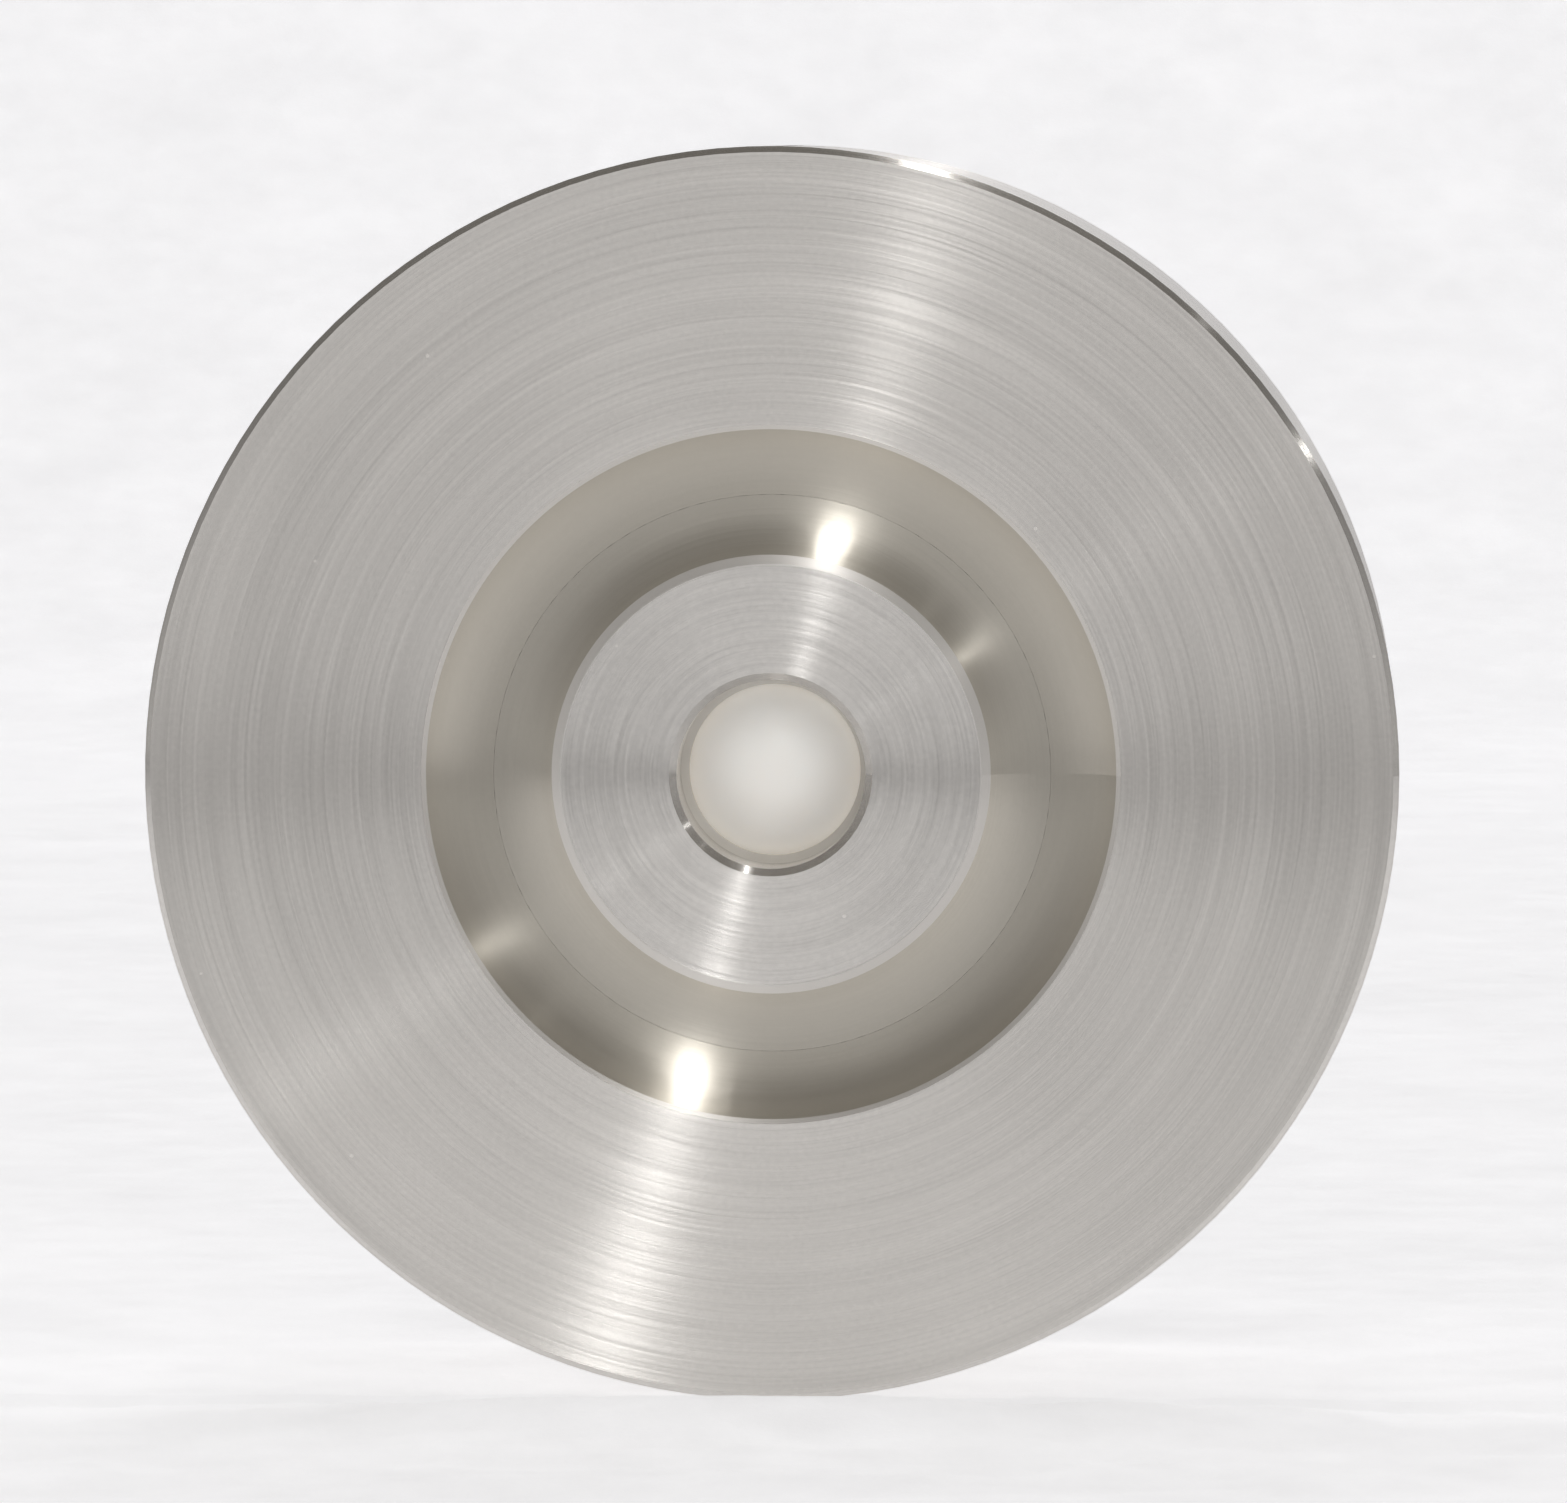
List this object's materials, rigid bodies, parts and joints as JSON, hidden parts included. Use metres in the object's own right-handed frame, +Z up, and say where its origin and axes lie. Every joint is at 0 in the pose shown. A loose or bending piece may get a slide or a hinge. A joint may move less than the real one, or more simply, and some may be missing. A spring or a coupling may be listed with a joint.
{
  "type": "wafer check valve",
  "caption": "Short round steel disc valve for clamping between pipe flanges: turned face with a round groove round a centre port, and a spring-loaded ball behind the port.",
  "frame": {"origin": "where the flow axis meets the inlet face", "axes": "+Y along the flow, from the inlet face to the outlet face; +Z up, towards the flow arrow on the rim"},
  "size_m": [0.053, 0.025, 0.053],
  "materials": {
    "body_steel": "fine-turned stainless steel, concentric tool marks",
    "nozzle_steel": "fine-turned stainless steel",
    "ball_white": "smooth, semi-gloss, off-white fluoropolymer",
    "seat_cream": "machined cream polymer",
    "seal_rubber": "moulded black rubber, satin",
    "retainer_steel": "turned stainless steel",
    "poppet_steel": "turned stainless steel",
    "stem_steel": "ground and polished stainless steel",
    "spring_steel": "drawn stainless spring wire",
    "sleeve_steel": "turned and bored stainless steel",
    "cage_steel": "milled stainless steel",
    "bush_bronze": "machined bearing bronze",
    "washer_steel": "pressed stainless strip",
    "ring_steel": "pressed and oiled spring steel"
  },
  "bodies": {
    "valve_body": {"body": "body_steel", "seat_nozzle": "nozzle_steel", "nozzle_o_ring": "seal_rubber", "soft_seat": "seat_cream", "seat_retainer": "retainer_steel", "return_spring": "spring_steel", "stop_sleeve": "washer_steel", "spring_washer": "washer_steel", "guide_bush": "bush_bronze", "guide_cage": "cage_steel", "chamber_sleeve": "sleeve_steel", "wave_washer": "washer_steel", "retaining_ring": "ring_steel"},
    "poppet": {"ball_cup": "poppet_steel", "guide_stem": "stem_steel"},
    "ball": {"ball": "ball_white"}
  },
  "joints": [
    {"name": "lift", "type": "slide", "parent": "valve_body", "child": "poppet", "axis": [0, 1, 0], "range_m": [0, 0.0022], "stiffness_N_per_m": 575, "springref_m": -0.0004, "deforming": ["return_spring"]},
    {"name": "ball_spin", "type": "hinge", "parent": "poppet", "child": "ball", "pos_m": [0, 0.00786, 0], "axis": [0, 1, 0], "continuous": true}
  ]
}
